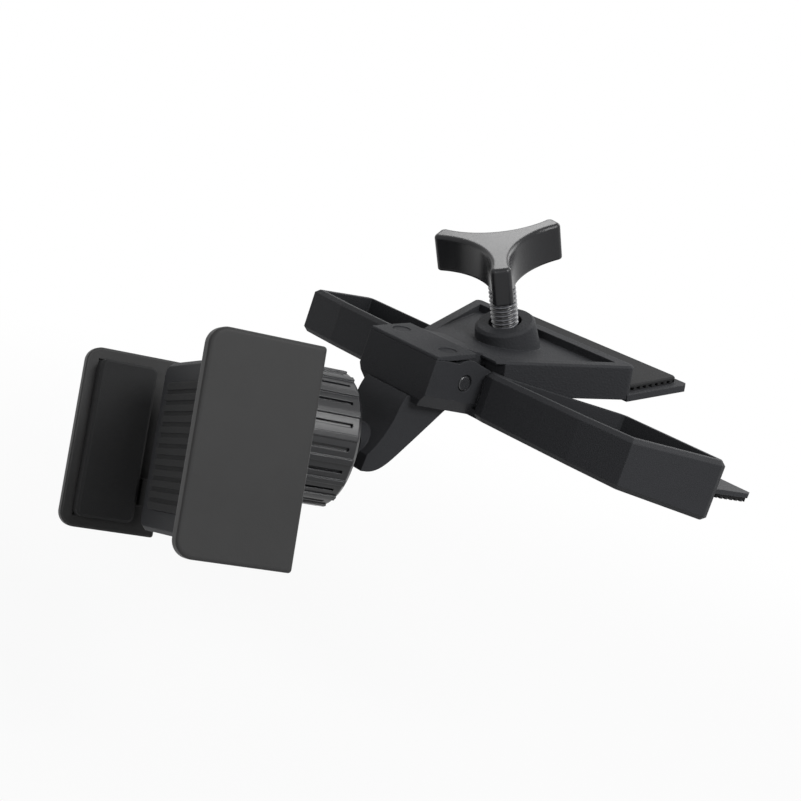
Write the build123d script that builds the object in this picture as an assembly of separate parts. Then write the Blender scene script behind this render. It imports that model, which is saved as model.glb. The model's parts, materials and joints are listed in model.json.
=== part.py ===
from build123d import *
import math
import os

# All lengths in millimetres. X runs across, Y into the dashboard, Z up.
# The origin is the middle of the slot mouth. The sub-parts are drawn from the
# hinge axis and moved there at the end.

# Place of the hinge axis and rest angles
MOUTH_Y = 34.4
MOUTH_Z = -3.0
OPEN_ANGLE = 15.6
SCREW_LEAN = 16.45
CRADLE_TURN = (-2.7, -16.8, -19.3)

# Fits
RUN_GAP = 0.05
SLIDE_GAP = 0.15
SHELL_GAP = 0.3

# Hinge block and pin
BLOCK_HALF = 10.8
CHEEK = 3.5
BLOCK_FRONT = -10.0
BLOCK_BOTTOM = -6.7
CHEEK_R = 4.98
BARREL_R = 4.6
POCKET_FLOOR = -5.0
PIN_R = 1.55
PIN_RECESS_R = 1.85
PIN_RECESS = 0.5
PIN_END = 0.1

# Wings and the floor between them
WALL = 2.0
FLOOR = 1.6
SLOPE_START = (2.0, -6.25)
SLOPE_END = (36.0, -9.7)
RIM_Z = 3.7
WING_EDGE = 0.9
WING_OUTLINE = ((10.2, 5.8), (12.2, 4.1), (14.6, 3.4), (38.7, 4.5), (51.3, 6.2),
                (57.6, 27.6), (57.3, 29.0), (56.2, 30.0), (30.2, 30.0), (28.6, 29.0),
                (14.2, 8.2), (10.2, 7.6))
TONGUE_HALF = 11.0
TONGUE_END = 33.8

# Lower blades
BLADE_IN = 31.5
BLADE_OUT = 57.3
BLADE_START = 28.6
BLADE_END = 42.4
BLADE_TOP = -2.0
BLADE_THICK = 1.0
PAD_THICK = 1.0
PAD_INSET = 0.6
PAD_START = 30.3
RIB_PITCH = 1.75
RIB_DEPTH = 0.5

# Neck and ball
NECK_HALF = 6.8
BALL_Y = -27.8
BALL_Z = -18.3
STUD_R = 3.8
SHANK_R = 3.0
COLLAR_R = 4.3
COLLAR_FACE = -16.4
SHANK_END = -11.2
SHELL = 0.5

# Upper plate, in its own frame with the hinge axis as origin
PLATE_ROOT = (12.0, 7.0)
PLATE_HEAD = (26.0, 35.6)
PLATE_START = 8.8
LIP_THICK = 0.5
PLATE_RIM = 4.3
PLATE_BOTTOM = -3.2
TRAY_FLOOR = 2.6
TRAY_THICK = 1.6
TRAY_WALL = 2.8
PLATE_CORNER = 1.4
HEAD_WALL = 3.0
UPPER_BLADE = ((-25.4, 34.0), (25.4, 34.0), (25.8, 52.4), (24.8, 53.6), (-24.8, 53.6), (-25.8, 52.4))
UPPER_TOP = -2.1
UPPER_THICK = 1.5
UPPER_PAD_HALF = 23.7
UPPER_PAD_START = 35.8
UPPER_PAD_END = 51.6
UPPER_PAD_THICK = 1.45
GROOVE_PITCH = 1.95
GROOVE_WIDE = 1.1
GROOVE_HIGH = 0.7

# Screw, nut, knob and foot; lengths along the screw from the boss top
BOSS_TOP = (19.7, 8.2)
BOSS_TOP_R = 6.6
BOSS_BASE_R = 7.3
BOSS_EDGE = 0.6
BOSS_BASE = -7.0
BOSS_END = -10.6
BOSS_BORE_R = 3.65
SCREW_R = 3.0
PITCH = 1.0
NUT_ACROSS = 10.0
NUT_SEAT = -3.2
NUT_HIGH = 3.2
KNOB_TOP = 19.24
KNOB_HIGH = 8.3
LOBE_R = 15.0
LOBE_END = 4.9
KNOB_WAIST = 4.9
LOBE_ANGLES = (80.0, 200.0, 320.0)
SCREW_TOP = 17.0
FOOT_R = 3.9
FOOT_HIGH = 4.2
FOOT_TAPER = 1.4
FOOT_LIP = 0.9
CAP_BORE = 2.6
TIP_R = 2.2
TIP_ABOVE = 1.0

# Cradle, in its own frame with the middle between the jaws as origin
BALL_AHEAD = 25.8
BALL_ABOVE = 6.6
JAW_OUT = 43.2
JAW_WALL = 3.0
JAW_IN = JAW_OUT - JAW_WALL
JAW_GRIP = 36.3
JAW_HALF_H = 19.45
JAW_HALF_D = 10.45
JAW_ROUND = 3.2
JAW_REAR_ROUND = 0.6
JAW_EDGE = 0.7
JAW_PAD_SINK = 0.8
JAW_PAD_MARGIN = 2.5
CASE_HALF_W = 26.0
CASE_HALF_H = 17.5
CASE_WALL = 2.0
CASE_FRONT = 2.8
CASE_SPLIT = 9.5
CASE_BACK = 12.6
CASE_ROUND = 3.0
CAVITY_Y = 5.45
FRONT_PAD = (CASE_HALF_W - 6.0, CASE_HALF_H - 4.5, 1.6)
PAD_SEAT = 0.8
PAD_GROOVE_PITCH = 2.2
PAD_GROOVE_WIDE = 0.9
PAD_GROOVE_DEEP = 0.4

# Racks and pinion
MODULE = 1.0
TEETH = 12
BACKLASH = 0.2
TOOTH_STEP = math.pi * MODULE
PITCH_R = MODULE * TEETH / 2
RACK_ROOT = PITCH_R + 1.1 * MODULE
ARM_TOP = CASE_HALF_H - 4.5
ARM_Y = (5.6, 9.35)
ARM_END = CASE_HALF_W - 14.0
RACK_TEETH = 4
AXLE_R = 1.5
AXLE_SINK = 1.3
WASHER_R = 4.2
WASHER_SINK = 0.7
WASHER_THICK = 0.4
WASHER_GAP = 0.02
CASE_SCREWS = (CASE_HALF_W - 3.8, CASE_HALF_H - 2.5)
CASE_SCREW_R = 1.0
CASE_SCREW_HEAD = 1.9
CASE_SCREW_DEPTH = 3.6
CASE_SCREW_SEAT = 1.6
CROSS_HALF = 1.1
CROSS_SLOT = 0.6
CROSS_DEEP = 0.7
HEAD_SINK = 0.2

# Collet and ring nut, lengths along the ring axis behind the ball centre
COLLET_WALL = 1.7
COLLET_MOUTH = 2.5
COLLET_SLOTS = 6
COLLET_SLOT = 1.2
RING_R = 13.5
RING_WALL = 2.5
RING_RIB = 0.4
RING_RIB_WIDE = 1.2
RING_BACK = 6.5
RING_FRONT = -4.6
RING_RIBS = 18
RING_SLOT = 0.7
RING_SLOT_DEEP = 0.7
RING_SLOT_END = 2.2
RING_FRONT_EDGE = 0.6
RING_BACK_EDGE = 0.8
RING_RIB_ROOT = 1.0
COLLET_R = RING_R - RING_WALL
RING_HOLE_R = COLLET_R - 1.6
FLANGE_R = RING_R - 1.1
BALL_R = COLLET_R - COLLET_WALL - 3 * SHELL_GAP - 2 * SHELL
COLLET_END = BALL_R - COLLET_MOUTH


def prism_x(points, x0, x1):
    """Solid between x0 and x1 from an outline given as (y, z)."""
    face = Plane.YZ * Polygon(*points, align=None)
    return Pos(x0, 0, 0) * extrude(face, x1 - x0, dir=(1, 0, 0))


def prism_z(points, z0, z1):
    """Solid between z0 and z1 from an outline given as (x, y)."""
    return Pos(0, 0, z0) * extrude(Polygon(*points, align=None), z1 - z0, dir=(0, 0, 1))


def block_between(x0, x1, y0, y1, z0, z1):
    """Box given by its limits."""
    size = Box(x1 - x0, y1 - y0, z1 - z0)
    return Pos((x0 + x1) / 2, (y0 + y1) / 2, (z0 + z1) / 2) * size


def rod_x(radius, x0, x1):
    """Round bar along X."""
    return Pos((x0 + x1) / 2, 0, 0) * Rot(0, 90, 0) * Cylinder(radius, x1 - x0)


def rod_y(radius, y0, y1):
    """Round bar along Y."""
    return Pos(0, (y0 + y1) / 2, 0) * Rot(90, 0, 0) * Cylinder(radius, y1 - y0)


def rod_z(radius, z0, z1):
    """Round bar along Z."""
    return Pos(0, 0, (z0 + z1) / 2) * Cylinder(radius, z1 - z0)


def revolved_y(points):
    """Solid of revolution about Y from an outline given as (radius, y)."""
    return revolve(Polygon(*points, align=None), Axis.Y)


def slope_z(y, lift=0.0):
    """Height of the sloping underside at y, lifted by a thickness."""
    share = (y - SLOPE_START[0]) / (SLOPE_END[0] - SLOPE_START[0])
    return SLOPE_START[1] + share * (SLOPE_END[1] - SLOPE_START[1]) + lift


# Frames of the moving groups, seen from the hinge axis
plate_frame = Rot(OPEN_ANGLE, 0, 0)
screw_frame = plate_frame * Pos(0, *BOSS_TOP) * Rot(SCREW_LEAN, 0, 0)
ball_frame = Pos(0, BALL_Y, BALL_Z) * Rot(*CRADLE_TURN)
cradle_frame = ball_frame * Pos(0, -BALL_AHEAD, -BALL_ABOVE)
slot_frame = Pos(0, -MOUTH_Y, -MOUTH_Z)


def foot_drop(swing):
    """Length along the screw from boss top to the dome centre that just clears the floor."""
    a = math.radians(OPEN_ANGLE + swing)
    lean = math.radians(OPEN_ANGLE + swing + SCREW_LEAN)
    top_y = BOSS_TOP[0] * math.cos(a) - BOSS_TOP[1] * math.sin(a)
    top_z = BOSS_TOP[0] * math.sin(a) + BOSS_TOP[1] * math.cos(a)
    tilt = slope_z(1.0) - slope_z(0.0)
    norm = math.hypot(1.0, tilt)
    reach = top_z - slope_z(top_y, FLOOR + RUNWAY)
    return (reach - (FOOT_R + RUN_GAP) * norm) / (math.cos(lean) + tilt * math.sin(lean))


# Raised runway under the foot and the travel of the screw
RUNWAY = 0.7
RUNWAY_HALF = 4.6
FOOT_REST = foot_drop(0.0)
FOOT_SHUT = foot_drop(-OPEN_ANGLE)
FEED = FOOT_REST - FOOT_SHUT


def foot_centre(share):
    """Dome centre (y, z) when the plate has closed by this share of its swing."""
    a = math.radians(OPEN_ANGLE * (1.0 - share))
    lean = a + math.radians(SCREW_LEAN)
    drop = FOOT_REST - FEED * share
    y = BOSS_TOP[0] * math.cos(a) - BOSS_TOP[1] * math.sin(a) + drop * math.sin(lean)
    z = BOSS_TOP[0] * math.sin(a) + BOSS_TOP[1] * math.cos(a) - drop * math.cos(lean)
    return y, z


def hinge_block():
    """Front wall, cheeks and floor around the hinge pocket."""
    tip = (6.3, 3.6)
    shoulder = (-3.22, 3.8)
    over = (1.2, 4.83)
    side = Plane.YZ * make_face([
        Line((BLOCK_FRONT, BLOCK_BOTTOM + 1.5), (BLOCK_FRONT, 3.55)),
        Line((BLOCK_FRONT, 3.55), (-6.9, 3.85)),
        Line((-6.9, 3.85), shoulder),
        ThreePointArc(shoulder, (0, CHEEK_R), over),
        Line(over, tip),
        Line(tip, (7.6, 3.3)),
        Line((7.6, 3.3), (7.6, BLOCK_BOTTOM)),
        Line((7.6, BLOCK_BOTTOM), (-9.2, BLOCK_BOTTOM)),
        Line((-9.2, BLOCK_BOTTOM), (BLOCK_FRONT, BLOCK_BOTTOM + 1.5)),
    ])
    body = Pos(-BLOCK_HALF, 0, 0) * extrude(side, 2 * BLOCK_HALF, dir=(1, 0, 0))
    for sign in (-1, 1):
        bevel = ((sign * (BLOCK_HALF + 1), -2.6), (sign * (BLOCK_HALF - 2.8), -7.6),
                 (sign * (BLOCK_HALF + 1), -7.6))
        wedge = extrude(Plane.XZ * Polygon(*bevel, align=None), 40, both=True)
        body -= wedge
    return body


def neck():
    """Bent neck that carries the ball collar."""
    front = Spline((-10.6, -5.4), (-11.4, -7.4), (-12.1, -11.1), (-13.5, -15.0), (-14.8, -17.35),
                   (-16.1, -19.1))
    back = Spline((-15.6, -22.5), (-11.6, -21.5), (-7.7, -17.7), (-4.6, -14.0), (0.8, -7.4),
                  (1.8, -6.2))
    side = Plane.YZ * make_face([
        front,
        Line((-16.1, -19.1), (-16.4, -22.5)),
        Line((-16.4, -22.5), (-15.6, -22.5)),
        back,
        Line((1.8, -6.2), (-10.6, -5.4)),
    ])
    body = Pos(-NECK_HALF, 0, 0) * extrude(side, 2 * NECK_HALF, dir=(1, 0, 0))
    collar = Pos(0, 0, BALL_Z) * rod_y(COLLAR_R, COLLAR_FACE, -9.5)
    return body + collar


def wing():
    """Hollow right wing with an open top and a sloping underside."""
    front, rear = SLOPE_START[0], SLOPE_END[0]
    section = prism_x(((front, slope_z(front)), (rear, slope_z(rear)), (rear, RIM_Z), (front, RIM_Z)), 0, 70)
    outer = prism_z(WING_OUTLINE, -12, 8) & section
    outer = chamfer(outer.edges().filter_by(Plane.XY).group_by(Axis.Z)[-1], WING_EDGE)
    under = ShapeList(e for e in outer.edges()
                      if max(abs((e @ t).Z - slope_z((e @ t).Y)) for t in (0, 1)) < 0.01)
    outer = chamfer(under, WING_EDGE)
    hollow = offset(Polygon(*WING_OUTLINE[2:-1], align=None), -WALL, kind=Kind.INTERSECTION)
    hollow = extrude(Pos(0, 0, -12) * hollow, 20, dir=(0, 0, 1))
    inside = prism_x(((front, slope_z(front, FLOOR)), (rear, slope_z(rear, FLOOR)),
                      (rear, 9), (front, 9)), 0, 70)
    return outer - (hollow & inside)


def lower_blade():
    """Right lower blade without its pad."""
    out = ((BLADE_IN, BLADE_START), (BLADE_OUT, BLADE_START), (BLADE_OUT, BLADE_END - 2.0),
           (BLADE_OUT - 1.2, BLADE_END), (BLADE_IN + 1.2, BLADE_END), (BLADE_IN, BLADE_END - 1.2))
    return prism_z(out, BLADE_TOP - BLADE_THICK, BLADE_TOP)


def track_point(share):
    """Point (y, z) of the track right under the foot, at this share of the swing."""
    step = 0.01
    before, after = foot_centre(share - step), foot_centre(share + step)
    along = (after[0] - before[0], after[1] - before[1])
    length = math.hypot(*along)
    reach = (FOOT_R + RUN_GAP) / length * (1 if along[0] < 0 else -1)
    y, z = foot_centre(share)
    return y - along[1] * reach, z + along[0] * reach


def runway():
    """Dished track that the screw foot slides along."""
    top = [track_point(share) for share in (1.0, 0.75, 0.5, 0.25, 0.0)]
    start = (top[0][0] - 3.0, top[0][1] + 0.05)
    end = (top[-1][0] + 2.0, top[-1][1] - 0.1)
    face = Plane.YZ * make_face([
        Line((start[0], slope_z(start[0])), start),
        Line(start, top[0]),
        Spline(*top),
        Line(top[-1], end),
        Line(end, (end[0], slope_z(end[0]))),
        Line((end[0], slope_z(end[0])), (start[0], slope_z(start[0]))),
    ])
    return Pos(-RUNWAY_HALF, 0, 0) * extrude(face, 2 * RUNWAY_HALF, dir=(1, 0, 0))


def middle_floor():
    """Floor between the wings with the tongue under the plate head."""
    half = ((0, 5.0), (14.6, 5.0), (14.9, 8.2), (29.2, 29.0), (29.2, 30.0), (TONGUE_HALF + 2, 30.0),
            (TONGUE_HALF, 32.0), (TONGUE_HALF - 1.5, TONGUE_END), (0, TONGUE_END))
    outline = half + tuple((-x, y) for x, y in reversed(half[1:-1]))
    rear = SLOPE_END[0]
    section = prism_x(((4, slope_z(4)), (rear, slope_z(rear)), (rear, slope_z(rear, FLOOR)),
                       (4, slope_z(4, FLOOR))), -40, 40)
    return prism_z(outline, -14, 4) & section


def make_lower_body():
    right = wing() + lower_blade()
    body = hinge_block() + neck() + middle_floor() + right + mirror(right, Plane.YZ) + runway()
    inner = BLOCK_HALF - CHEEK
    body -= block_between(-inner, inner, BLOCK_FRONT + 2.3, 7.7, POCKET_FLOOR, 9)
    body -= rod_x(PIN_R, -BLOCK_HALF - 1, BLOCK_HALF + 1)
    for sign in (-1, 1):
        ends = sorted((sign * BLOCK_HALF, sign * (BLOCK_HALF - PIN_RECESS)))
        body -= rod_x(PIN_RECESS_R, *ends)
    body -= Pos(0, 0, BALL_Z) * rod_y(SHANK_R, COLLAR_FACE - 1, SHANK_END)
    return body


def make_hinge_pin():
    half = BLOCK_HALF - PIN_END
    return chamfer(rod_x(PIN_R, -half, half).edges(), 0.15)


def make_blade_pad(sign):
    """Ribbed pad under one lower blade."""
    top = BLADE_TOP - BLADE_THICK
    pad = block_between(BLADE_IN + PAD_INSET, BLADE_OUT - PAD_INSET, PAD_START, BLADE_END - PAD_INSET,
                        top - PAD_THICK, top)
    pad = fillet(pad.edges().filter_by(Axis.Z), 1.4)
    count = int((BLADE_END - PAD_INSET - PAD_START) / RIB_PITCH)
    for i in range(count):
        y = PAD_START + RIB_PITCH * (i + 0.5)
        pad -= block_between(0, 70, y, y + RIB_PITCH / 2, top - PAD_THICK - 1, top - PAD_THICK + RIB_DEPTH)
    return pad if sign > 0 else mirror(pad, Plane.YZ)


def saddle():
    """Saddle over the hinge with an ear over each cheek, and the barrel inside."""
    profile = ((-8.42, 6.62), (-8.2, 6.78), (-2.2, 6.5), (2.1, 6.3), (1.9, 5.3), (0, 5.32), (-3.0, 5.4),
               (-5.5, 5.65), (-8.62, 6.12))
    ears = prism_x(profile, -BLOCK_HALF, BLOCK_HALF)
    for sign in (-1, 1):
        mark = Pos(sign * 7.5, -3.0, 6.55) * Cylinder(2.0, 0.5)
        ears -= mark
    inner = BLOCK_HALF - CHEEK - RUN_GAP * 4
    join = PLATE_START + 0.8
    web = prism_x(((-5.4, 6.2), (2.1, 6.3), (5.2, 5.2), (PLATE_START, PLATE_RIM), (join, floor_z(join)),
                   (join, -3.0), (0, -3.2), (0, 0), (-4.0, 2.2)), -inner, inner)
    return ears + web + rod_x(BARREL_R, -inner, inner)


def floor_z(y):
    """Height of the sloping tray floor at y, level with the rim at its front."""
    share = (y - PLATE_START) / (PLATE_HEAD[1] - HEAD_WALL - PLATE_START)
    return PLATE_RIM + share * (TRAY_FLOOR - PLATE_RIM)


def tray():
    """Delta-shaped tray with a sloping floor, hollow below, and its blade."""
    rx, ry = PLATE_ROOT
    hx, hy = PLATE_HEAD
    outline = Polygon((-rx, ry), (rx, ry), (hx, hy), (-hx, hy), align=None)
    outline = fillet(outline.vertices().group_by(Axis.Y)[-1], PLATE_CORNER)
    body = Pos(0, 0, PLATE_BOTTOM) * extrude(outline, PLATE_RIM - PLATE_BOTTOM, dir=(0, 0, 1))
    body -= block_between(-rx - 5, rx + 5, ry - 1, PLATE_START, PLATE_BOTTOM - 1, PLATE_RIM - LIP_THICK)
    body = chamfer(body.edges().filter_by(Plane.XY).group_by(Axis.Z)[-1].sort_by(Axis.Y)[1:], 0.4)
    inner_end = hy - HEAD_WALL
    at_start = rx + (hx - rx) * (PLATE_START - ry) / (hy - ry) - TRAY_WALL
    at_end = rx + (hx - rx) * (inner_end - ry) / (hy - ry) - TRAY_WALL
    hollow = ((-at_start, PLATE_START), (at_start, PLATE_START), (at_end, inner_end), (-at_end, inner_end))
    above = prism_x(((PLATE_START, floor_z(PLATE_START)), (inner_end, floor_z(inner_end)),
                     (inner_end, 9), (PLATE_START, 9)), -40, 40)
    below = prism_x(((PLATE_START + TRAY_THICK, PLATE_BOTTOM - 1), (inner_end, PLATE_BOTTOM - 1),
                     (inner_end, floor_z(inner_end) - TRAY_THICK),
                     (PLATE_START + TRAY_THICK, floor_z(PLATE_START) - TRAY_THICK)), -40, 40)
    body -= prism_z(hollow, -5, 9) & (above + below)
    return body + prism_z(UPPER_BLADE, UPPER_TOP - UPPER_THICK, UPPER_TOP)


def boss():
    """Conical boss along the screw, in the screw frame."""
    side = Polygon((0, BOSS_END), (BOSS_BASE_R, BOSS_END), (BOSS_BASE_R, BOSS_BASE),
                   (BOSS_TOP_R, -BOSS_EDGE), (BOSS_TOP_R - BOSS_EDGE, 0), (0, 0), align=None)
    return revolve(Plane.XZ * side, Axis.Z)


def make_upper_plate():
    body = saddle() + tray()
    low = block_between(-12, 12, 4, 36, PLATE_BOTTOM, 20)
    local = Pos(0, *BOSS_TOP) * Rot(SCREW_LEAN, 0, 0)
    body += (local * boss()) & low
    body -= local * rod_z(BOSS_BORE_R, NUT_SEAT - 1, 1)
    pocket = RegularPolygon(NUT_ACROSS / 2 + RUN_GAP, 6, major_radius=False)
    body -= local * Pos(0, 0, -20) * extrude(pocket, 20 + NUT_SEAT, dir=(0, 0, 1))
    body -= rod_x(PIN_R + RUN_GAP, -BLOCK_HALF, BLOCK_HALF)
    return plate_frame * body


def make_screw_nut():
    nut = extrude(Pos(0, 0, NUT_SEAT - NUT_HIGH) * RegularPolygon(NUT_ACROSS / 2, 6, major_radius=False),
                  NUT_HIGH, dir=(0, 0, 1))
    return screw_frame * (nut - rod_z(SCREW_R + RUN_GAP, NUT_SEAT - NUT_HIGH - 1, NUT_SEAT + 1))


def make_clamp_screw():
    tip = -FOOT_REST + TIP_ABOVE
    shank = rod_z(SCREW_R, tip + CAP_BORE, SCREW_TOP)
    shank = chamfer(shank.edges().group_by(Axis.Z)[0], 0.5)
    return screw_frame * (shank + rod_z(TIP_R, tip, tip + CAP_BORE))


def lobe_outline():
    """Three-lobed outline with concave sides between the lobe ends."""
    curves = []
    half = math.degrees(math.asin(LOBE_END / 2 / LOBE_R))
    for angle in LOBE_ANGLES:
        points = []
        for step, radius in ((-half, LOBE_R), (half, LOBE_R), (60, KNOB_WAIST), (120 - half, LOBE_R)):
            a = math.radians(angle + step)
            points.append((radius * math.cos(a), radius * math.sin(a)))
        curves.append(Line(points[0], points[1]))
        curves.append(ThreePointArc(points[1], points[2], points[3]))
    return make_face(curves)


def make_thumb_knob():
    base = KNOB_TOP - KNOB_HIGH
    body = extrude(Pos(0, 0, base) * lobe_outline(), KNOB_HIGH, dir=(0, 0, 1))
    body = fillet(body.edges().filter_by(Axis.Z), 1.2)
    body = fillet(body.edges().group_by(Axis.Z)[-1], 0.8)
    body = fillet(body.edges().group_by(Axis.Z)[0], 0.5)
    return screw_frame * (body - rod_z(SCREW_R, base - 2, SCREW_TOP))


def make_screw_foot():
    """Domed cap with a bore for the screw tip."""
    centre = -FOOT_REST
    shoulder = centre + FOOT_HIGH - FOOT_TAPER
    rim = centre + TIP_ABOVE + CAP_BORE - SLIDE_GAP
    bore_floor = centre + TIP_ABOVE - RUN_GAP
    bore = TIP_R + RUN_GAP
    slant = FOOT_R * math.sqrt(0.5)
    profile = Plane.XZ * make_face([
        ThreePointArc((0, centre - FOOT_R), (slant, centre - slant), (FOOT_R, centre)),
        Line((FOOT_R, centre), (FOOT_R, shoulder)),
        Line((FOOT_R, shoulder), (TIP_R + FOOT_LIP, rim)),
        Line((TIP_R + FOOT_LIP, rim), (bore, rim)),
        Line((bore, rim), (bore, bore_floor)),
        Line((bore, bore_floor), (0, bore_floor)),
        Line((0, bore_floor), (0, centre - FOOT_R)),
    ])
    return screw_frame * revolve(profile, Axis.Z)


def make_upper_pad():
    pad = block_between(-UPPER_PAD_HALF, UPPER_PAD_HALF, UPPER_PAD_START, UPPER_PAD_END, UPPER_TOP,
                        UPPER_TOP + UPPER_PAD_THICK)
    pad = fillet(pad.edges().filter_by(Axis.Z), 1.0)
    pad = chamfer(pad.edges().group_by(Axis.Z)[-1], 0.3)
    for i in range(int((UPPER_PAD_END - UPPER_PAD_START) / GROOVE_PITCH)):
        y = UPPER_PAD_START + GROOVE_PITCH * (i + 0.5) - GROOVE_WIDE / 2 + 0.4
        pad -= block_between(-40, 40, y, y + GROOVE_WIDE, UPPER_TOP, UPPER_TOP + GROOVE_HIGH)
    return plate_frame * pad


def ball_zone(inner, outer, front, back):
    """Shell between two spheres, cut by planes across Y."""
    shell = Sphere(outer) - Sphere(inner)
    return shell & block_between(-20, 20, front, back, -20, 20)


def make_ball_stud():
    stem = rod_y(STUD_R, 0, COLLAR_FACE - BALL_Y)
    shank = rod_y(SHANK_R, COLLAR_FACE - BALL_Y - 1, SHANK_END - BALL_Y)
    return Pos(0, BALL_Y, BALL_Z) * (Sphere(BALL_R) + stem + shank)


def make_ball_liner():
    inner = BALL_R + SHELL_GAP
    return Pos(0, BALL_Y, BALL_Z) * ball_zone(inner, inner + SHELL, -4.4, COLLET_END)


def make_ball_seat():
    inner = BALL_R + 2 * SHELL_GAP + SHELL
    return ball_frame * ball_zone(inner, inner + SHELL, -6.0, COLLET_END)


def case_outline(half_w, half_h, radius, y0, y1):
    """Rounded rectangular block between y0 and y1."""
    face = Plane.XZ * RectangleRounded(2 * half_w, 2 * half_h, radius)
    return Pos(0, y0, 0) * extrude(face, y1 - y0, dir=(0, 1, 0))


def screw_places():
    """Places of the four housing screws as (x, z)."""
    x, z = CASE_SCREWS
    return ((x, z), (-x, z), (-x, -z), (x, -z))


def make_cradle_back():
    """Back cover with flange and slotted collet."""
    seat = BALL_R + 3 * SHELL_GAP + 2 * SHELL
    plate = case_outline(CASE_HALF_W, CASE_HALF_H, CASE_ROUND, CASE_SPLIT, CASE_BACK)
    plate = chamfer(plate.edges().filter_by(Plane.XZ).group_by(Axis.Y)[-1], 0.8)
    near = CASE_BACK - BALL_AHEAD - 1
    flange_end = RING_FRONT - SLIDE_GAP
    mouth = math.sqrt(seat * seat - COLLET_END * COLLET_END)
    socket = revolve(make_face([
        Line((0, near), (FLANGE_R, near)),
        Line((FLANGE_R, near), (FLANGE_R, flange_end)),
        Line((FLANGE_R, flange_end), (COLLET_R, flange_end)),
        Line((COLLET_R, flange_end), (COLLET_R, COLLET_END)),
        Line((COLLET_R, COLLET_END), (mouth, COLLET_END)),
        ThreePointArc((mouth, COLLET_END), (seat, 0), (0, -seat)),
        Line((0, -seat), (0, near)),
    ]), Axis.Y)
    for i in range(COLLET_SLOTS):
        slot = block_between(-COLLET_SLOT / 2, COLLET_SLOT / 2, -1.0, COLLET_END + 1, 0, 20)
        socket -= Rot(0, 30 + i * 360 / COLLET_SLOTS, 0) * slot
    body = plate + Pos(0, BALL_AHEAD, BALL_ABOVE) * socket
    body -= rod_y(AXLE_R, CASE_SPLIT - 1, CASE_SPLIT + WASHER_SINK + AXLE_SINK)
    body -= rod_y(WASHER_R + 0.4, CASE_SPLIT - 1, CASE_SPLIT + WASHER_SINK)
    for x, z in screw_places():
        body -= Pos(x, 0, z) * rod_y(CASE_SCREW_R + RUN_GAP, CASE_SPLIT - 1, CASE_BACK + 1)
        body -= Pos(x, 0, z) * rod_y(CASE_SCREW_HEAD + RUN_GAP, CASE_BACK - CASE_SCREW_SEAT, CASE_BACK + 1)
    return cradle_frame * body


def make_cradle_front():
    """Front cover with the cavity for the racks."""
    body = case_outline(CASE_HALF_W, CASE_HALF_H, CASE_ROUND, CASE_FRONT, CASE_SPLIT)
    body = chamfer(body.edges().filter_by(Plane.XZ).group_by(Axis.Y)[0], 0.8)
    inner_w = CASE_HALF_W - CASE_WALL
    body -= block_between(-inner_w, inner_w, CAVITY_Y, CASE_SPLIT, -ARM_TOP - SLIDE_GAP, ARM_TOP + SLIDE_GAP)
    low = RACK_ROOT - SLIDE_GAP
    for sign in (-1, 1):
        z0, z1 = sorted((sign * low, sign * (ARM_TOP + SLIDE_GAP)))
        x0, x1 = sorted((0, sign * 40))
        body -= block_between(x0, x1, CAVITY_Y, CASE_SPLIT, z0, z1)
    body -= rod_y(AXLE_R, CAVITY_Y - AXLE_SINK, CAVITY_Y + 1)
    half_w, half_h = FRONT_PAD[:2]
    body -= case_outline(half_w, half_h, 2.0, CASE_FRONT - 1, CASE_FRONT + PAD_SEAT)
    for x, z in screw_places():
        body -= Pos(x, 0, z) * rod_y(CASE_SCREW_R, CASE_SPLIT - CASE_SCREW_DEPTH, CASE_SPLIT + 1)
    return cradle_frame * body


def make_front_pad():
    half_w, half_h, thick = FRONT_PAD
    back = CASE_FRONT + PAD_SEAT
    pad = case_outline(half_w, half_h, 2.0, back - thick, back)
    face = back - thick
    for i in range(-5, 6):
        z = i * PAD_GROOVE_PITCH
        pad -= block_between(-half_w - 1, half_w + 1, face - 1, face + PAD_GROOVE_DEEP,
                             z - PAD_GROOVE_WIDE / 2, z + PAD_GROOVE_WIDE / 2)
    return cradle_frame * pad


def arm():
    """Rack arm of the right jaw, above the pinion; its inner teeth end with the arm."""
    body = block_between(-ARM_END, JAW_IN + 1, ARM_Y[0], ARM_Y[1], RACK_ROOT, ARM_TOP)
    half = TOOTH_STEP / 4 - BACKLASH / 2
    tip = PITCH_R - 0.9
    foot = RACK_ROOT + 0.2
    inner_teeth = round((ARM_END - 1.0) / TOOTH_STEP)
    for i in range(-inner_teeth, RACK_TEETH):
        mid = (i + 0.5) * TOOTH_STEP
        tooth = Polygon((mid - half + 0.33, tip), (mid + half - 0.33, tip),
                        (mid + half + 0.5, foot), (mid - half - 0.5, foot), align=None)
        tooth = extrude(Plane.XZ * tooth, ARM_Y[1] - ARM_Y[0], dir=(0, 1, 0))
        body += Pos(0, ARM_Y[0], 0) * tooth
    return body


def jaw_shape():
    """Right jaw in the cradle frame: wall, pad recess and rack arm."""
    body = block_between(JAW_IN, JAW_OUT, -JAW_HALF_D, JAW_HALF_D, -JAW_HALF_H, JAW_HALF_H)
    corners = body.edges().filter_by(Axis.X).group_by(Axis.Y)
    body = fillet(corners[0], JAW_ROUND)
    body = fillet(body.edges().filter_by(Axis.X).group_by(Axis.Y)[-1], JAW_REAR_ROUND)
    body = fillet(body.edges().group_by(Axis.X)[-1], JAW_EDGE)
    body = chamfer(body.edges().group_by(Axis.X)[0], 0.3)
    return body - pad_block() + arm()


def pad_block():
    """Pad of the right jaw, sunk into the wall and standing proud of it."""
    m = JAW_PAD_MARGIN
    return block_between(JAW_GRIP, JAW_IN + JAW_PAD_SINK, -JAW_HALF_D + m, ARM_Y[0] - 1.2,
                         -JAW_HALF_H + m, JAW_HALF_H - m)


def make_jaw_pad():
    pad = pad_block()
    pad = fillet(pad.edges().filter_by(Axis.X), 1.5)
    return chamfer(pad.edges().group_by(Axis.X)[0], 0.5)


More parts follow.
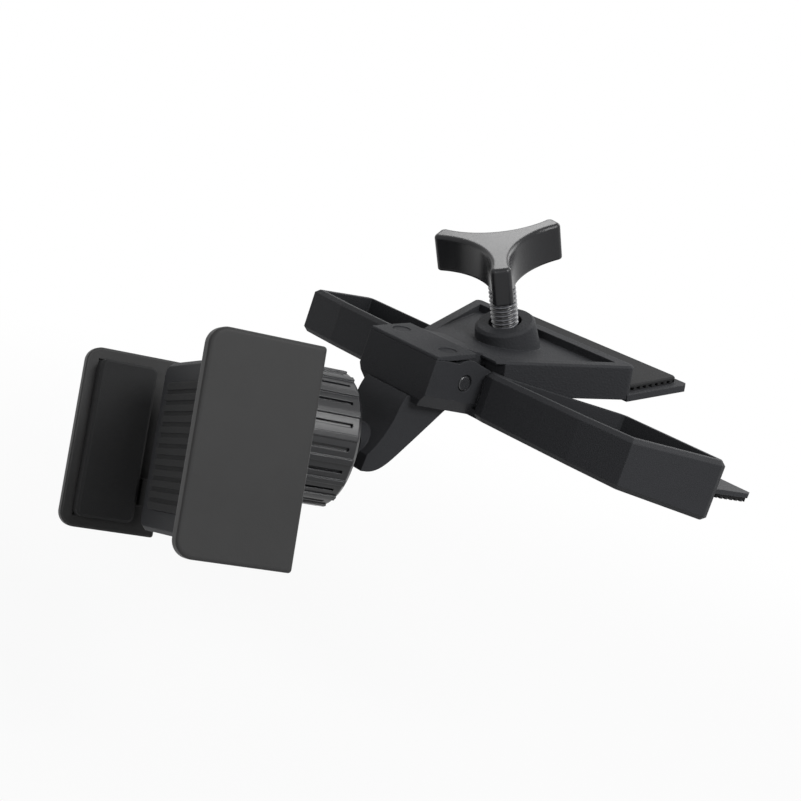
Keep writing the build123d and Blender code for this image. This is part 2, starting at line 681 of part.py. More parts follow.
def opposite(shape):
    """The same piece turned half round the pinion axis, for the left jaw."""
    return Rot(0, 180, 0) * shape


def make_pinion():
    face = Circle(PITCH_R - 1.25 * MODULE)
    half = TOOTH_STEP / 4 - BACKLASH / 2
    points = ((PITCH_R - 1.6, -half - 0.45), (PITCH_R, -half), (PITCH_R + 0.85, -half + 0.36),
              (PITCH_R + 0.85, half - 0.36), (PITCH_R, half), (PITCH_R - 1.6, half + 0.45))
    tooth = Polygon(*points, align=None)
    for i in range(TEETH):
        face += Rot(0, 0, i * 360 / TEETH) * tooth
    body = extrude(Plane.XZ * face, ARM_Y[1] - ARM_Y[0], dir=(0, 1, 0))
    body = Pos(0, ARM_Y[0], 0) * body
    return cradle_frame * (body - rod_y(AXLE_R + RUN_GAP, 0, 20))


def make_axle():
    return cradle_frame * rod_y(AXLE_R, CAVITY_Y - AXLE_SINK, CASE_SPLIT + WASHER_SINK + AXLE_SINK)


def make_brake_washer():
    """Conical spring washer between pinion and back cover."""
    y0 = ARM_Y[1] + WASHER_GAP
    y1 = CASE_SPLIT + WASHER_SINK - WASHER_GAP
    bore = AXLE_R + RUN_GAP
    return cradle_frame * revolved_y(((bore, y0), (WASHER_R, y1 - WASHER_THICK), (WASHER_R, y1),
                                      (bore, y0 + WASHER_THICK)))


def make_case_screw(x, z):
    seat = CASE_BACK - CASE_SCREW_SEAT
    top = CASE_BACK - HEAD_SINK
    head = rod_y(CASE_SCREW_HEAD, seat, top)
    shank = rod_y(CASE_SCREW_R, CASE_SPLIT - CASE_SCREW_DEPTH + 0.3, seat + 0.5)
    slot = block_between(-CROSS_HALF, CROSS_HALF, top - CROSS_DEEP, CASE_BACK,
                         -CROSS_SLOT / 2, CROSS_SLOT / 2)
    cross = slot + Rot(0, 90, 0) * slot
    return cradle_frame * Pos(x, 0, z) * (head + shank - cross)


def make_ring_nut():
    """Ring nut with blind slots and raised ribs in turn."""
    bore = COLLET_R + RUN_GAP
    body = revolved_y(((bore, RING_FRONT), (RING_R - RING_FRONT_EDGE, RING_FRONT),
                       (RING_R, RING_FRONT + RING_FRONT_EDGE), (RING_R, RING_BACK - RING_BACK_EDGE),
                       (RING_R - RING_BACK_EDGE, RING_BACK), (RING_HOLE_R, RING_BACK),
                       (RING_HOLE_R, COLLET_END + SLIDE_GAP), (bore, COLLET_END + SLIDE_GAP)))
    step = 360 / RING_RIBS
    for i in range(RING_RIBS):
        slot = block_between(-RING_SLOT / 2, RING_SLOT / 2, RING_FRONT - 1, RING_BACK - RING_SLOT_END,
                             RING_R - RING_SLOT_DEEP, RING_R + 2)
        rib = block_between(-RING_RIB_WIDE / 2, RING_RIB_WIDE / 2, RING_FRONT + RING_FRONT_EDGE,
                            RING_BACK - RING_BACK_EDGE, RING_R - RING_RIB_ROOT, RING_R + RING_RIB)
        body -= Rot(0, i * step, 0) * slot
        body += Rot(0, (i + 0.5) * step, 0) * rib
    return ball_frame * body


pieces = {
    "lower_body": make_lower_body(),
    "hinge_pin": make_hinge_pin(),
    "upper_plate": make_upper_plate(),
    "upper_blade_pad": make_upper_pad(),
    "right_blade_pad": make_blade_pad(1),
    "left_blade_pad": make_blade_pad(-1),
    "screw_nut": make_screw_nut(),
    "clamp_screw": make_clamp_screw(),
    "thumb_knob": make_thumb_knob(),
    "screw_foot": make_screw_foot(),
    "ball_stud": make_ball_stud(),
    "ball_liner": make_ball_liner(),
    "ball_seat": make_ball_seat(),
    "cradle_back": make_cradle_back(),
    "cradle_front": make_cradle_front(),
    "front_pad": make_front_pad(),
    "ring_nut": make_ring_nut(),
    "right_jaw": cradle_frame * jaw_shape(),
    "left_jaw": cradle_frame * opposite(jaw_shape()),
    "right_jaw_pad": cradle_frame * make_jaw_pad(),
    "left_jaw_pad": cradle_frame * opposite(make_jaw_pad()),
    "pinion": make_pinion(),
    "pinion_axle": make_axle(),
    "brake_washer": make_brake_washer(),
}
for number, (place_x, place_z) in enumerate(screw_places(), 1):
    pieces["case_screw_" + str(number)] = make_case_screw(place_x, place_z)

os.makedirs("parts", exist_ok=True)
for name, shape in pieces.items():
    export_step(slot_frame * shape, "parts/" + name + ".step")
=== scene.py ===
import json
import math

import bmesh
import bpy
from mathutils import Matrix, Vector


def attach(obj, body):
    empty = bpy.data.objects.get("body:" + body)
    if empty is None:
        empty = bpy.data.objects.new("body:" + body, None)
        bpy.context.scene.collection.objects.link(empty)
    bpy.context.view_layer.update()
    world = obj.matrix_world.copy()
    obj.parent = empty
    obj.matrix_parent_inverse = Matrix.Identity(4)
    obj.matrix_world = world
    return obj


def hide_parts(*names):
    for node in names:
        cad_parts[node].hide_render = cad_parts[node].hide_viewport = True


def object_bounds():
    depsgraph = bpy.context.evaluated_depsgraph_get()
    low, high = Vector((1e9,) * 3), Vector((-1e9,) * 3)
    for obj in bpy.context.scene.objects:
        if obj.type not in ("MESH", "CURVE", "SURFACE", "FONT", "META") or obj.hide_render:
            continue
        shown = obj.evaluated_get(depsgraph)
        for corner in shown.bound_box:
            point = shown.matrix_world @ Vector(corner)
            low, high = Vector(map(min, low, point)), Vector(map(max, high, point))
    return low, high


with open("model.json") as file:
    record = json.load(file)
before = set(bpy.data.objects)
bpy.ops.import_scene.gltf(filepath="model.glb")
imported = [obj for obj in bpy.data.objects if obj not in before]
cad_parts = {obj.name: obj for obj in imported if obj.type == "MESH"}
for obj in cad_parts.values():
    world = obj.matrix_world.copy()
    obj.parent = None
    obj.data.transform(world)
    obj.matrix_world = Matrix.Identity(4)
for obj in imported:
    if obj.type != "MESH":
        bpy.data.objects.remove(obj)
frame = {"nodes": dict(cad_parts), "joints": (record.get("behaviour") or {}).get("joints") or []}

bl_info = {
    "name": "CD slot phone holder",
    "version": (1, 0, 0),
    "blender": (4, 5, 0),
    "location": "3D View > Sidebar > Holder",
    "description": "Finishes, screw thread and studio for the phone holder",
    "category": "Object",
}

CAD_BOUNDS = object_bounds()
JOINTS = {joint["name"]: joint for joint in frame["joints"]}
MM = 0.001
WHITE = (1.0, 1.0, 1.0, 1.0)

# Clamp screw: its ends and plain tip along its axis, measured from the top of the boss
SCREW_LOW = -14.89 * MM
SCREW_HIGH = 17.0 * MM
TIP_LOW = -17.49 * MM
TIP_RADIUS = 2.2 * MM

# Thread mesh: points round the screw and up one pitch, and a profile with a flat crest and straight flanks
TIP_COLUMNS = 32
THREAD_COLUMNS = 40
THREAD_ROWS = 12
CREST_LEVEL = 1.15
FLANK_SLOPE = 3.45

# Edges: samples of the rounding, and the turn of the surface that counts as a full edge
EDGE_SAMPLES = 6
EDGE_TURN = 0.86

# Patches of colour and gloss: their size, and where they reach their darkest and lightest
PATCH_SIZE = 14.0 * MM
PATCH_LOW, PATCH_HIGH = 0.3, 0.7

# Relief: fine noise as a share of the grain and of the ripple, rubber pits and dust, steel coating
GRAIN_NOISE = 0.8
RIPPLE_NOISE = 0.12
RUBBER_PITS = 0.26 * MM
RUBBER_DUST = 0.9 * MM
COATING_GRAIN = 0.25 * MM
COATING_PATCH = 1.6 * MM

# Painted shade in the groove and painted highlight on the crest of the thread, as shares of the plain
# steel's colour
CREST = "crest"
GROOVE_SHADE = (0.15, 0.15, 0.15, 1.0)
CREST_HIGHLIGHT = (4.5, 4.5, 4.6, 1.0)

# Sockets of the colour mix: share, first colour, second colour and result
MIX_SHARE, MIX_A, MIX_B, MIX_OUT = 0, 6, 7, 2

# Studio: drop and size of the floor, and soft lamps as (name, place, width, power)
FLOOR_DROP = 26.0 * MM
FLOOR_SIZE = 12.0
LAMPS = (
    ("key_lamp", (0.50, -0.10, 0.42), 0.30, 4.1),
    ("crown_lamp", (-0.42, 0.17, 0.47), 0.16, 0.36),
    ("front_lamp", (0.30, -0.58, 0.14), 0.20, 0.9),
    ("rear_lamp", (-0.06, 0.44, 0.50), 0.40, 1.8),
)
WORLD_LIGHT = 0.10
# Share of the floor that the camera sees plain white: near the object, and from FADE_END on
NEAR_WHITE, FAR_WHITE = 0.93, 1.0
FADE_START, FADE_END = 0.10, 0.42

# Camera: viewing angle, roll and distance, aimed from the hinge axis
HINGE_POINT = Vector((0.0, -34.4, 3.0)) * MM
CAMERA_TURN = math.radians(45.7)
CAMERA_RISE = math.radians(9.1)
CAMERA_ROLL = math.radians(18.7)
CAMERA_DISTANCE = 317.0 * MM
CAMERA_SHIFT = (-6.5 * MM, -7.0 * MM)
CAMERA_LENS = 67.64
CAMERA_SENSOR = 36.0
CAMERA_NEAR = 10.0 * MM


class HolderSizes(bpy.types.PropertyGroup):
    """Sizes of the modelled details."""
    thread_radius: bpy.props.FloatProperty(
        name="Thread radius", description="Outer radius of the screw thread",
        default=3.0 * MM, unit="LENGTH", precision=5)
    thread_depth: bpy.props.FloatProperty(
        name="Thread depth", description="Depth of the screw thread",
        default=0.6 * MM, unit="LENGTH", precision=5)
    thread_pitch: bpy.props.FloatProperty(
        name="Thread pitch", description="Distance from one thread crest to the next",
        default=1.0 * MM, unit="LENGTH", precision=5)
    edge_round: bpy.props.FloatProperty(
        name="Edge rounding", description="Rounding seen on the moulded edges",
        default=0.35 * MM, unit="LENGTH", precision=5)
    grain_size: bpy.props.FloatProperty(
        name="Body grain", description="Size of the grain on the clamp body",
        default=0.30 * MM, unit="LENGTH", precision=5)
    plate_grain: bpy.props.FloatProperty(
        name="Plate grain", description="Size of the coarser grain on the upper plate",
        default=0.42 * MM, unit="LENGTH", precision=5)


class HolderColours(bpy.types.PropertyGroup):
    """Colours of the finishes."""
    clamp: bpy.props.FloatVectorProperty(
        name="Clamp plastic", description="Grained black plastic of the clamp",
        subtype="COLOR", min=0.0, max=1.0, default=(0.0210, 0.0216, 0.0236))
    jaw: bpy.props.FloatVectorProperty(
        name="Jaw plastic", description="Satin dark grey plastic of the jaws",
        subtype="COLOR", min=0.0, max=1.0, default=(0.0380, 0.0380, 0.0382))
    knob: bpy.props.FloatVectorProperty(
        name="Knob plastic", description="Semi-gloss black plastic of the knob and ring nut",
        subtype="COLOR", min=0.0, max=1.0, default=(0.0135, 0.0138, 0.0152))
    rubber: bpy.props.FloatVectorProperty(
        name="Rubber", description="Black rubber of the pads",
        subtype="COLOR", min=0.0, max=1.0, default=(0.0125, 0.0127, 0.0132))
    steel: bpy.props.FloatVectorProperty(
        name="Black steel", description="Blackened steel of the screws and pin",
        subtype="COLOR", min=0.0, max=1.0, default=(0.0200, 0.0204, 0.0220))
    zinc: bpy.props.FloatVectorProperty(
        name="Plated steel", description="Plated steel of the nut, axle and washer",
        subtype="COLOR", min=0.0, max=1.0, default=(0.5200, 0.5250, 0.5400))
    acetal: bpy.props.FloatVectorProperty(
        name="Inner plastic", description="Natural plastic of the foot, shells and pinion",
        subtype="COLOR", min=0.0, max=1.0, default=(0.5200, 0.5050, 0.4600))
    floor: bpy.props.FloatVectorProperty(
        name="Floor", description="Colour of the studio floor",
        subtype="COLOR", min=0.0, max=1.0, default=(0.5200, 0.5200, 0.5200))


def sizes():
    """The sizes set in the sidebar."""
    return bpy.context.scene.holder_sizes


def colours():
    """The colours set in the sidebar."""
    return bpy.context.scene.holder_colours


class Nodes:
    """Short way to add and join shader nodes."""

    def __init__(self, owner):
        owner.use_nodes = True
        self.tree = owner.node_tree
        self.tree.nodes.clear()

    def add(self, kind, settings=None, **inputs):
        """New node; a socket's name has an underscore for each space."""
        node = self.tree.nodes.new(kind)
        for key, value in (settings or {}).items():
            setattr(node, key, value)
        for key, value in inputs.items():
            node.inputs[key.replace("_", " ")].default_value = value
        return node

    def join(self, source, output, target, socket):
        self.tree.links.new(source.outputs[output], target.inputs[socket])

    def on_piece(self, pattern):
        """Fixes a pattern to the piece that carries it."""
        place = self.add("ShaderNodeTexCoord")
        self.join(place, "Object", pattern, "Vector")
        return pattern

    def noise(self, size, detail=3.0, roughness=0.55):
        """Soft spots of the given size."""
        spots = self.add("ShaderNodeTexNoise", Scale=1.0 / size, Detail=detail, Roughness=roughness)
        return self.on_piece(spots)

    def pits(self, size):
        """Closely packed round pits of the given size."""
        return self.on_piece(self.add("ShaderNodeTexVoronoi", Scale=1.0 / size))

    def scale(self, source, output, low, high):
        """Maps a pattern from 0..1 to low..high."""
        span = self.add("ShaderNodeMapRange", To_Min=low, To_Max=high)
        self.join(source, output, span, "Value")
        return span

    def combine(self, first, first_output, second, second_output, operation="ADD"):
        """Two patterns put together by a sum or another operation."""
        both = self.add("ShaderNodeMath", {"operation": operation})
        self.join(first, first_output, both, 0)
        self.join(second, second_output, both, 1)
        return both

    def finished(self, shader, kind="ShaderNodeOutputMaterial"):
        """Ends the tree with its output."""
        self.join(shader, 0, self.add(kind), "Surface")


def soft_edges(nodes, share):
    """Normal rounded over the edges, and a mask that is 1 on an edge and 0 on a flat."""
    rounded = nodes.add("ShaderNodeBevel", {"samples": EDGE_SAMPLES}, Radius=sizes().edge_round * share)
    surface = nodes.add("ShaderNodeNewGeometry")
    turn = nodes.add("ShaderNodeVectorMath", {"operation": "DOT_PRODUCT"})
    nodes.join(rounded, "Normal", turn, 0)
    nodes.join(surface, "Normal", turn, 1)
    mask = nodes.add("ShaderNodeMapRange", From_Min=1.0, From_Max=EDGE_TURN)
    nodes.join(turn, "Value", mask, "Value")
    return rounded, mask


def painted_thread_light(nodes, tint):
    """Painted shade in the grooves of a thread and a painted highlight on its crests."""
    height = nodes.add("ShaderNodeAttribute", {"attribute_name": CREST})
    ramp = nodes.add("ShaderNodeValToRGB")
    ramp.color_ramp.elements[0].color = GROOVE_SHADE
    ramp.color_ramp.elements[1].color = CREST_HIGHLIGHT
    thread_light_mix = nodes.add("ShaderNodeMix", {"data_type": "RGBA", "blend_type": "MULTIPLY"})
    thread_light_mix.inputs[MIX_SHARE].default_value = 1.0
    nodes.join(height, "Fac", ramp, "Fac")
    nodes.join(tint, MIX_OUT, thread_light_mix, MIX_A)
    nodes.join(ramp, "Color", thread_light_mix, MIX_B)
    return thread_light_mix


def finish(nodes, base, relief, depth, gloss, spread, speckle=0.10, edge_tint=1.3, edge_polish=0.10,
           edge_share=1.0, wear=None, **shader):
    """Surface with patchy colour and gloss, relief, edges painted lighter as a highlight, and edges made
    smoother.
    """
    bsdf = nodes.add("ShaderNodeBsdfPrincipled", **shader)
    rounded, edge = soft_edges(nodes, edge_share)
    patches = nodes.noise(PATCH_SIZE, detail=4.0)
    fleck = nodes.scale(relief, 0, -speckle, speckle)
    flecked = nodes.combine(patches, 0, fleck, "Result")

    ramp = nodes.add("ShaderNodeValToRGB")
    for stop, place, share in ((0, PATCH_LOW, 1.0 - spread), (1, PATCH_HIGH, 1.0 + spread)):
        ramp.color_ramp.elements[stop].position = place
        ramp.color_ramp.elements[stop].color = (*(c * share for c in base), 1.0)
    nodes.join(flecked, 0, ramp, "Fac")
    # Painted highlight: the edges are coloured lighter than the flats
    tint = nodes.add("ShaderNodeMix", {"data_type": "RGBA"})
    tint.inputs[MIX_B].default_value = (*(min(1.0, c * edge_tint) for c in base), 1.0)
    nodes.join(edge, "Result", tint, MIX_SHARE)
    nodes.join(ramp, "Color", tint, MIX_A)
    # Painted light laid over the colour where given: on the thread, painted shade in the grooves and a
    # painted highlight on the crests
    if wear:
        tint = wear(nodes, tint)
    nodes.join(tint, MIX_OUT, bsdf, "Base Color")

    patchy = nodes.scale(flecked, 0, *gloss)
    polish = nodes.scale(edge, "Result", 0.0, edge_polish)
    rubbed = nodes.combine(patchy, "Result", polish, "Result", "SUBTRACT")
    nodes.join(rubbed, 0, bsdf, "Roughness")

    bump = nodes.add("ShaderNodeBump", Strength=1.0, Distance=depth)
    nodes.join(relief, 0, bump, "Height")
    nodes.join(rounded, "Normal", bump, "Normal")
    nodes.join(bump, "Normal", bsdf, "Normal")
    nodes.finished(bsdf)


def grained_plastic(name, base, grain, **surface):
    """Moulded plastic with spark-eroded grain: round pits broken up by fine noise."""
    material = bpy.data.materials.new(name)
    nodes = Nodes(material)
    relief = nodes.combine(nodes.pits(grain), "Distance", nodes.noise(grain * GRAIN_NOISE), 0)
    finish(nodes, base, relief, Specular_IOR_Level=0.09, **surface)
    return material


def satin_plastic(name, base, ripple, **surface):
    """Smooth moulded plastic with a slight ripple under the light."""
    material = bpy.data.materials.new(name)
    nodes = Nodes(material)
    relief = nodes.combine(nodes.noise(ripple, detail=2.0), 0, nodes.noise(ripple * RIPPLE_NOISE), 0)
    finish(nodes, base, relief, spread=0.05, **surface)
    return material


def pad_rubber(name, base):
    """Dull rubber with a very fine open grain and dusty patches."""
    material = bpy.data.materials.new(name)
    nodes = Nodes(material)
    relief = nodes.combine(nodes.pits(RUBBER_PITS), "Distance", nodes.noise(RUBBER_DUST), 0)
    finish(nodes, base, relief, depth=0.03 * MM, gloss=(0.66, 0.88), spread=0.22, edge_tint=1.5,
           edge_polish=0.04, Specular_IOR_Level=0.20)
    return material


def drawn_steel(name, base, **surface):
    """Steel with a patchy coating, its edges painted lighter as a highlight."""
    material = bpy.data.materials.new(name)
    nodes = Nodes(material)
    relief = nodes.combine(nodes.noise(COATING_GRAIN, detail=2.0), 0, nodes.noise(COATING_PATCH), 0)
    finish(nodes, base, relief, depth=0.006 * MM, spread=0.18, edge_tint=1.4, edge_polish=0.08, **surface)
    return material


def black_steel(name, **surface):
    """Blackened steel of the screws and the pin."""
    return drawn_steel(name, colours().steel, gloss=(0.20, 0.30), Specular_IOR_Level=0.75, **surface)


def dress(names, material):
    """Gives CAD nodes a material."""
    for name in names:
        node = frame["nodes"][name]
        node.data.materials.clear()
        node.data.materials.append(material)


def new_piece(name, mesh, material, body):
    """Object with a material that rides on a body."""
    mesh.materials.append(material)
    piece = bpy.data.objects.new(name, mesh)
    bpy.context.scene.collection.objects.link(piece)
    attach(piece, body)
    return piece


def axis_frame(joint_name):
    """Matrix with Z along a joint's axis, X across the holder and its origin at the joint."""
    joint = JOINTS[joint_name]
    axis = Vector(joint["axis"]).normalized()
    across = Vector((1, 0, 0))
    side = axis.cross(across).normalized()
    turn = Matrix((across, side, axis)).transposed().to_4x4()
    return Matrix.Translation(Vector(joint["pos_m"])) @ turn


def thread_lift(share):
    """Height of the thread, 0 in the groove and 1 on the crest, at a share of its pitch."""
    return min(1.0, max(0.0, CREST_LEVEL - FLANK_SLOPE * abs(share - 0.5)))


def thread_columns(bm, radius, depth, pitch, low, rows):
    """Columns of points round the screw, each a little higher than the one before it."""
    crest = bm.verts.layers.float.new(CREST)
    lifts = [thread_lift(k / THREAD_ROWS) for k in range(THREAD_ROWS)]
    columns = []
    for j in range(THREAD_COLUMNS):
        turn = 2.0 * math.pi * j / THREAD_COLUMNS
        column = []
        for k in range(rows + 1):
            lift = lifts[k % THREAD_ROWS]
            r = radius - depth * (1.0 - lift)
            z = low + pitch * (j / THREAD_COLUMNS + k / THREAD_ROWS)
            vert = bm.verts.new((r * math.cos(turn), r * math.sin(turn), z))
            vert[crest] = lift
            column.append(vert)
        columns.append(column)
    return columns


def threaded_bar(name, radius, depth, pitch, low, high):
    """Closed bar with one continuous thread and a plain tip at its low end."""
    mesh = bpy.data.meshes.new(name)
    bm = bmesh.new()
    rows = (int((high - low) / pitch) - 1) * THREAD_ROWS
    columns = thread_columns(bm, radius, depth, pitch, low, rows)
    for near, far in zip(columns, columns[1:]):
        for k in range(rows):
            bm.faces.new((near[k], far[k], far[k + 1], near[k + 1]))

    # The last column meets the first one pitch higher, and each end is closed to a point on the axis
    first, last = columns[0], columns[-1]
    for k in range(rows - THREAD_ROWS):
        above = k + THREAD_ROWS
        bm.faces.new((last[k], first[above], first[above + 1], last[k + 1]))
    bottom = [column[0] for column in columns] + [first[k] for k in range(THREAD_ROWS, 0, -1)]
    top = [column[rows] for column in columns]
    top += [last[k] for k in range(rows - 1, rows - THREAD_ROWS - 1, -1)]
    for rim, height in ((bottom, low), (top, high)):
        centre = bm.verts.new((0.0, 0.0, height))
        for vert, after in zip(rim, rim[1:] + rim[:1]):
            bm.faces.new((vert, after, centre))

    tip = bmesh.ops.create_cone(bm, cap_ends=True, segments=TIP_COLUMNS, radius1=TIP_RADIUS,
                                radius2=TIP_RADIUS, depth=low - TIP_LOW + pitch)
    bmesh.ops.translate(bm, verts=tip["verts"], vec=(0.0, 0.0, (low + TIP_LOW + pitch) / 2))
    bmesh.ops.recalc_face_normals(bm, faces=bm.faces)
    for face in bm.faces:
        face.smooth = True
    bm.to_mesh(mesh)
    bm.free()
    return mesh


def seen_white(nodes):
    """1 for what is seen straight, in a gloss or through glass, and 0 for light on the object."""
    ways = nodes.add("ShaderNodeLightPath")
    seen = nodes.combine(ways, "Is Camera Ray", ways, "Is Glossy Ray", "MAXIMUM")
    return nodes.combine(seen, 0, ways, "Is Transmission Ray", "MAXIMUM")


class HOLDER_OT_clamp(bpy.types.Operator):
    """Grained black plastic on the clamp body, upper plate, ball stud and cradle case"""
    bl_idname = "holder.clamp"
    bl_label = "Clamp"

    def execute(self, context):
        body = grained_plastic("clamp_body_plastic", colours().clamp, sizes().grain_size,
                               depth=0.022 * MM, gloss=(0.46, 0.58), spread=0.16, speckle=0.25)
        dress(("lower_body", "ball_stud", "cradle_back", "cradle_front"), body)
        plate = grained_plastic("upper_plate_plastic", colours().clamp, sizes().plate_grain,
                                depth=0.060 * MM, gloss=(0.48, 0.62), spread=0.34, speckle=0.45)
        dress(("upper_plate",), plate)
        return {"FINISHED"}


class HOLDER_OT_jaws(bpy.types.Operator):
    """Satin dark grey plastic on the two jaws"""
    bl_idname = "holder.jaws"
    bl_label = "Jaws"

    def execute(self, context):
        plastic = satin_plastic("jaw_plastic", colours().jaw, ripple=2.5 * MM, depth=0.010 * MM,
                                gloss=(0.34, 0.42), edge_share=1.5, edge_tint=1.9,
                                Specular_IOR_Level=0.05)
        dress(("left_jaw", "right_jaw"), plastic)
        return {"FINISHED"}


class HOLDER_OT_knob_and_ring(bpy.types.Operator):
    """Semi-gloss black plastic on the thumb knob and the ring nut"""
    bl_idname = "holder.knob_and_ring"
    bl_label = "Knob and ring nut"

    def execute(self, context):
        knob = satin_plastic("knob_plastic", colours().knob, ripple=1.8 * MM, depth=0.005 * MM,
                             gloss=(0.20, 0.26), edge_share=2.0, Specular_IOR_Level=0.25)
        dress(("thumb_knob",), knob)
        ring = satin_plastic("ring_nut_plastic", colours().knob, ripple=1.2 * MM, depth=0.008 * MM,
                             gloss=(0.26, 0.36), edge_tint=2.0, Specular_IOR_Level=0.35)
        dress(("ring_nut",), ring)
        return {"FINISHED"}


class HOLDER_OT_pads(bpy.types.Operator):
    """Dull black rubber on every pad"""
    bl_idname = "holder.pads"
    bl_label = "Pads"

    def execute(self, context):
        rubber = pad_rubber("pad_rubber", colours().rubber)
        dress(("upper_blade_pad", "right_blade_pad", "left_blade_pad", "front_pad",
               "right_jaw_pad", "left_jaw_pad"), rubber)
        return {"FINISHED"}


class HOLDER_OT_hardware(bpy.types.Operator):
    """Steel on the pin, screws, nut, axle and washer, inner plastic on the foot, shells and pinion"""
    bl_idname = "holder.hardware"
    bl_label = "Hardware"

    def execute(self, context):
        dress(("hinge_pin", "clamp_screw", "case_screw_1", "case_screw_2", "case_screw_3",
               "case_screw_4"), black_steel("black_steel"))
        plated = drawn_steel("plated_steel", colours().zinc, gloss=(0.26, 0.38), Metallic=1.0)
        dress(("screw_nut", "pinion_axle", "brake_washer"), plated)
        acetal = satin_plastic("inner_plastic", colours().acetal, ripple=2.0 * MM, depth=0.006 * MM,
                               gloss=(0.34, 0.44), Specular_IOR_Level=0.45)
        dress(("screw_foot", "ball_liner", "ball_seat", "pinion"), acetal)
        return {"FINISHED"}


class HOLDER_OT_screw(bpy.types.Operator):
    """Threaded clamp screw in place of the plain bar"""
    bl_idname = "holder.screw"
    bl_label = "Clamp screw"

    def execute(self, context):
        mesh = threaded_bar("clamp_screw_thread", sizes().thread_radius, sizes().thread_depth,
                            sizes().thread_pitch, SCREW_LOW, SCREW_HIGH)
        mesh.transform(axis_frame("screw_turn"))
        # Thread steel with painted shade in its grooves and a painted highlight on its crests
        steel = black_steel("thread_steel", wear=painted_thread_light)
        piece = new_piece("threaded_screw", mesh, steel, "screw_and_knob")
        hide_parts("clamp_screw")
        return {"FINISHED"}


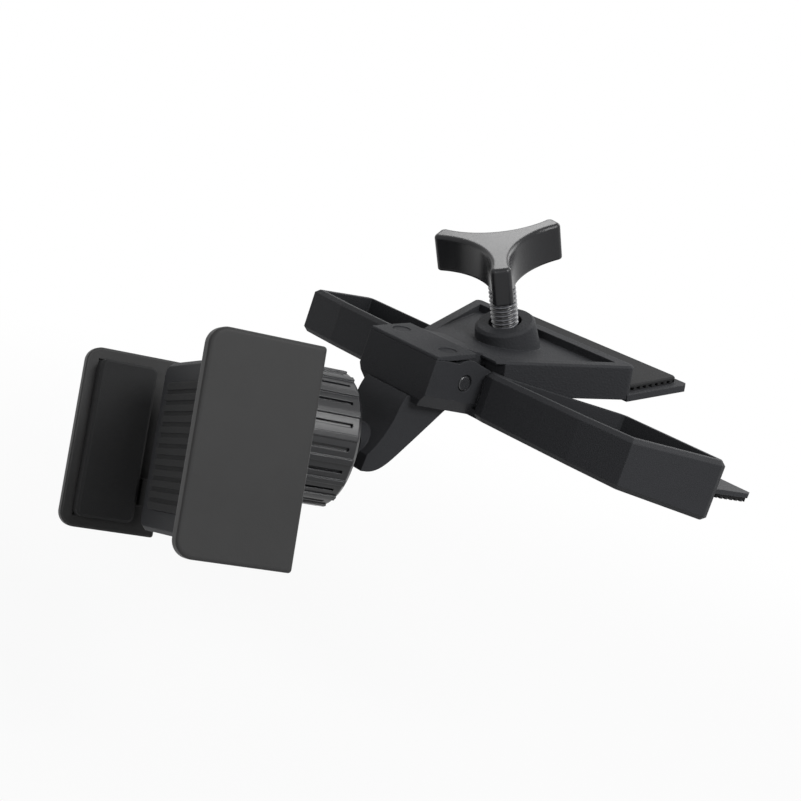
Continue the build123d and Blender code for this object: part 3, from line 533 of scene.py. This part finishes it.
class HOLDER_OT_stage(bpy.types.Operator):
    """Floor, lamps, world and camera"""
    bl_idname = "holder.stage"
    bl_label = "Stage"

    def execute(self, context):
        scene = context.scene
        scene.view_settings.view_transform = "Standard"
        self.floor(scene)
        self.lamps(scene)
        self.world(scene)
        self.camera(scene)
        return {"FINISHED"}

    def floor(self, scene):
        """Pale floor that keeps the object's shadow."""
        mesh = bpy.data.meshes.new("studio_floor")
        half = FLOOR_SIZE / 2
        z = CAD_BOUNDS[0][2] - FLOOR_DROP
        mesh.from_pydata([(-half, -half, z), (half, -half, z), (half, half, z), (-half, half, z)],
                         [], [(0, 1, 2, 3)])
        material = bpy.data.materials.new("studio_floor")
        nodes = Nodes(material)
        matt = nodes.add("ShaderNodeBsdfDiffuse", Color=(*colours().floor, 1.0))
        white = nodes.add("ShaderNodeEmission", Strength=1.0)
        share = nodes.combine(seen_white(nodes), 0, self.fade(nodes), "Result", "MULTIPLY")
        nodes.finished(self.blend(nodes, share, matt, white))
        mesh.materials.append(material)
        floor = bpy.data.objects.new("studio_floor", mesh)
        scene.collection.objects.link(floor)

    def fade(self, nodes):
        """Share of plain white, rising with the distance from the object."""
        place = nodes.add("ShaderNodeTexCoord")
        away = nodes.add("ShaderNodeVectorMath", {"operation": "LENGTH"})
        nodes.join(place, "Object", away, 0)
        rise = nodes.add("ShaderNodeMapRange", {"interpolation_type": "SMOOTHSTEP"}, From_Min=FADE_START,
                         From_Max=FADE_END, To_Min=NEAR_WHITE, To_Max=FAR_WHITE)
        nodes.join(away, "Value", rise, "Value")
        return rise

    def blend(self, nodes, share, lit, seen):
        """Mix of the shader that lights the object and the one that the camera sees."""
        mix = nodes.add("ShaderNodeMixShader")
        nodes.join(share, 0, mix, 0)
        nodes.join(lit, 0, mix, 1)
        nodes.join(seen, 0, mix, 2)
        return mix

    def lamps(self, scene):
        """Soft lamps that point at the middle of the object."""
        middle = (Vector(CAD_BOUNDS[0]) + Vector(CAD_BOUNDS[1])) / 2
        for name, place, width, power in LAMPS:
            data = bpy.data.lights.new(name, "AREA")
            data.size = width
            data.energy = power
            lamp = bpy.data.objects.new(name, data)
            lamp.location = place
            lamp.rotation_euler = (middle - Vector(place)).to_track_quat("-Z", "Y").to_euler()
            lamp.visible_camera = False
            scene.collection.objects.link(lamp)

    def world(self, scene):
        """Weak even light, seen as plain white."""
        world = bpy.data.worlds.new("studio")
        scene.world = world
        nodes = Nodes(world)
        soft = nodes.add("ShaderNodeBackground", Color=WHITE, Strength=WORLD_LIGHT)
        white = nodes.add("ShaderNodeBackground", Color=WHITE, Strength=1.0)
        mix = self.blend(nodes, seen_white(nodes), soft, white)
        nodes.finished(mix, "ShaderNodeOutputWorld")

    def camera(self, scene):
        """Camera at the photograph's viewing angle."""
        right = Vector((math.cos(CAMERA_TURN), math.sin(CAMERA_TURN), 0.0))
        ahead = Vector((-math.sin(CAMERA_TURN) * math.cos(CAMERA_RISE),
                        math.cos(CAMERA_TURN) * math.cos(CAMERA_RISE), -math.sin(CAMERA_RISE)))
        up = right.cross(ahead)
        rolled = right * math.cos(CAMERA_ROLL) + up * math.sin(CAMERA_ROLL)
        top = up * math.cos(CAMERA_ROLL) - right * math.sin(CAMERA_ROLL)
        eye = (HINGE_POINT - ahead * CAMERA_DISTANCE + rolled * CAMERA_SHIFT[0]
               + top * CAMERA_SHIFT[1])
        data = bpy.data.cameras.new("photo_camera")
        data.lens = CAMERA_LENS
        data.sensor_width = CAMERA_SENSOR
        data.clip_start = CAMERA_NEAR
        camera = bpy.data.objects.new("photo_camera", data)
        turn = Matrix((rolled, top, -ahead)).transposed().to_4x4()
        camera.matrix_world = Matrix.Translation(eye) @ turn
        scene.collection.objects.link(camera)
        scene.camera = camera


class HOLDER_PT_panel(bpy.types.Panel):
    """Sidebar panel with the sizes, the colours and the steps"""
    bl_label = "Phone holder"
    bl_idname = "HOLDER_PT_panel"
    bl_space_type = "VIEW_3D"
    bl_region_type = "UI"
    bl_category = "Holder"

    def draw(self, context):
        column = self.layout.column()
        for group in (context.scene.holder_sizes, context.scene.holder_colours):
            for key in group.__annotations__:
                column.prop(group, key)
        for step in STEPS:
            column.operator(step.bl_idname)


STEPS = (HOLDER_OT_clamp, HOLDER_OT_jaws, HOLDER_OT_knob_and_ring, HOLDER_OT_pads,
         HOLDER_OT_hardware, HOLDER_OT_screw, HOLDER_OT_stage)
CLASSES = (HolderSizes, HolderColours) + STEPS + (HOLDER_PT_panel,)


def register():
    for item in CLASSES:
        bpy.utils.register_class(item)
    bpy.types.Scene.holder_sizes = bpy.props.PointerProperty(type=HolderSizes)
    bpy.types.Scene.holder_colours = bpy.props.PointerProperty(type=HolderColours)


def unregister():
    del bpy.types.Scene.holder_colours
    del bpy.types.Scene.holder_sizes
    for item in reversed(CLASSES):
        bpy.utils.unregister_class(item)


def main():
    register()
    bpy.ops.holder.clamp()
    bpy.ops.holder.jaws()
    bpy.ops.holder.knob_and_ring()
    bpy.ops.holder.pads()
    bpy.ops.holder.hardware()
    bpy.ops.holder.screw()
    bpy.ops.holder.stage()


if __name__ == "__main__":
    main()
